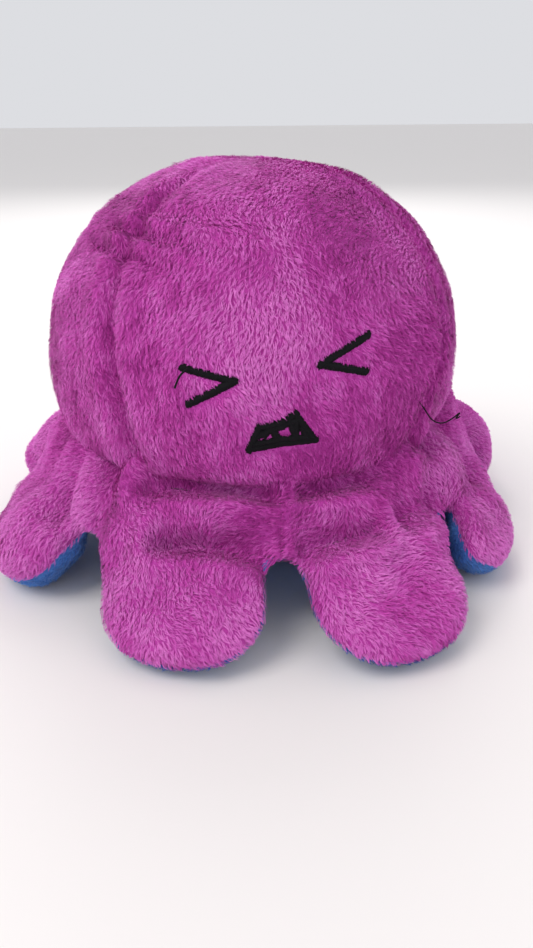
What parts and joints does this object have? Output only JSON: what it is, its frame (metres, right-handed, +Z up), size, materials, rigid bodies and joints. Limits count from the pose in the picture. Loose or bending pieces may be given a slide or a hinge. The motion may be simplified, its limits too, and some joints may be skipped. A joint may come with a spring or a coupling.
{
  "type": "reversible plush octopus",
  "caption": "Soft plush octopus with a round stuffed head on a skirt of padded folding tentacles, and a contrasting lining tucked up inside the head.",
  "frame": {"origin": "on the floor, under the middle of the head", "axes": "+Z up, the embroidered face looks along -Y, +X on the viewer's right"},
  "size_m": [0.1896, 0.1887, 0.1286],
  "materials": {
    "purple_plush": "short pile plush, brushed",
    "blue_plush": "short pile plush, brushed",
    "black_embroidery": "satin stitch thread",
    "black_thread": "sewing thread",
    "purple_thread": "seam allowance and sewing thread",
    "blue_thread": "seam allowance and sewing thread",
    "fibre_filling": "loose polyester fibre filling"
  },
  "bodies": {
    "head": {"head_panel_face": "purple_plush", "lining_panel_face": "blue_plush", "head_panel_right": "purple_plush", "lining_panel_right": "blue_plush", "head_panel_back": "purple_plush", "lining_panel_back": "blue_plush", "head_panel_left": "purple_plush", "lining_panel_left": "blue_plush", "head_stuffing": "fibre_filling", "neck_seam_outer": "purple_thread", "neck_seam_inner": "blue_thread", "eye_left": "black_embroidery", "eye_right": "black_embroidery", "mouth": "black_embroidery", "inner_eye_left": "black_embroidery", "inner_eye_right": "black_embroidery", "inner_mouth": "black_embroidery", "skirt_outer": "purple_plush", "skirt_padding": "fibre_filling", "skirt_inner": "blue_plush", "thread_end_eye": "black_thread", "thread_end_seam": "black_thread"},
    "tentacle_front_right": {"tentacle_front_right_top": "purple_plush", "tentacle_front_right_underside": "blue_plush", "tentacle_front_right_padding": "fibre_filling"},
    "tentacle_right": {"tentacle_right_top": "purple_plush", "tentacle_right_underside": "blue_plush", "tentacle_right_padding": "fibre_filling"},
    "tentacle_rear_right": {"tentacle_rear_right_top": "purple_plush", "tentacle_rear_right_underside": "blue_plush", "tentacle_rear_right_padding": "fibre_filling"},
    "tentacle_back_right": {"tentacle_back_right_top": "purple_plush", "tentacle_back_right_underside": "blue_plush", "tentacle_back_right_padding": "fibre_filling"},
    "tentacle_back_left": {"tentacle_back_left_top": "purple_plush", "tentacle_back_left_underside": "blue_plush", "tentacle_back_left_padding": "fibre_filling"},
    "tentacle_rear_left": {"tentacle_rear_left_top": "purple_plush", "tentacle_rear_left_underside": "blue_plush", "tentacle_rear_left_padding": "fibre_filling"},
    "tentacle_left": {"tentacle_left_top": "purple_plush", "tentacle_left_underside": "blue_plush", "tentacle_left_padding": "fibre_filling"},
    "tentacle_front_left": {"tentacle_front_left_top": "purple_plush", "tentacle_front_left_underside": "blue_plush", "tentacle_front_left_padding": "fibre_filling"}
  },
  "joints": [
    {"name": "tentacle_front_right_fold", "type": "hinge", "parent": "head", "child": "tentacle_front_right", "pos_m": [0.02908, -0.07021, 0.02164], "axis": [-0.9239, -0.3827, 0], "range_deg": [-35, 115], "stiffness_Nm_per_rad": 0.03},
    {"name": "tentacle_right_fold", "type": "hinge", "parent": "head", "child": "tentacle_right", "pos_m": [0.07021, -0.02908, 0.02164], "axis": [-0.3827, -0.9239, 0], "range_deg": [-35, 115], "stiffness_Nm_per_rad": 0.03},
    {"name": "tentacle_rear_right_fold", "type": "hinge", "parent": "head", "child": "tentacle_rear_right", "pos_m": [0.07021, 0.02908, 0.02164], "axis": [0.3827, -0.9239, 0], "range_deg": [-35, 115], "stiffness_Nm_per_rad": 0.03},
    {"name": "tentacle_back_right_fold", "type": "hinge", "parent": "head", "child": "tentacle_back_right", "pos_m": [0.02908, 0.07021, 0.02164], "axis": [0.9239, -0.3827, 0], "range_deg": [-35, 115], "stiffness_Nm_per_rad": 0.03},
    {"name": "tentacle_back_left_fold", "type": "hinge", "parent": "head", "child": "tentacle_back_left", "pos_m": [-0.02908, 0.07021, 0.02164], "axis": [0.9239, 0.3827, 0], "range_deg": [-35, 115], "stiffness_Nm_per_rad": 0.03},
    {"name": "tentacle_rear_left_fold", "type": "hinge", "parent": "head", "child": "tentacle_rear_left", "pos_m": [-0.07021, 0.02908, 0.02164], "axis": [0.3827, 0.9239, 0], "range_deg": [-35, 115], "stiffness_Nm_per_rad": 0.03},
    {"name": "tentacle_left_fold", "type": "hinge", "parent": "head", "child": "tentacle_left", "pos_m": [-0.07021, -0.02908, 0.02164], "axis": [-0.3827, 0.9239, 0], "range_deg": [-35, 115], "stiffness_Nm_per_rad": 0.03},
    {"name": "tentacle_front_left_fold", "type": "hinge", "parent": "head", "child": "tentacle_front_left", "pos_m": [-0.02908, -0.07021, 0.02164], "axis": [-0.9239, 0.3827, 0], "range_deg": [-35, 115], "stiffness_Nm_per_rad": 0.03}
  ]
}
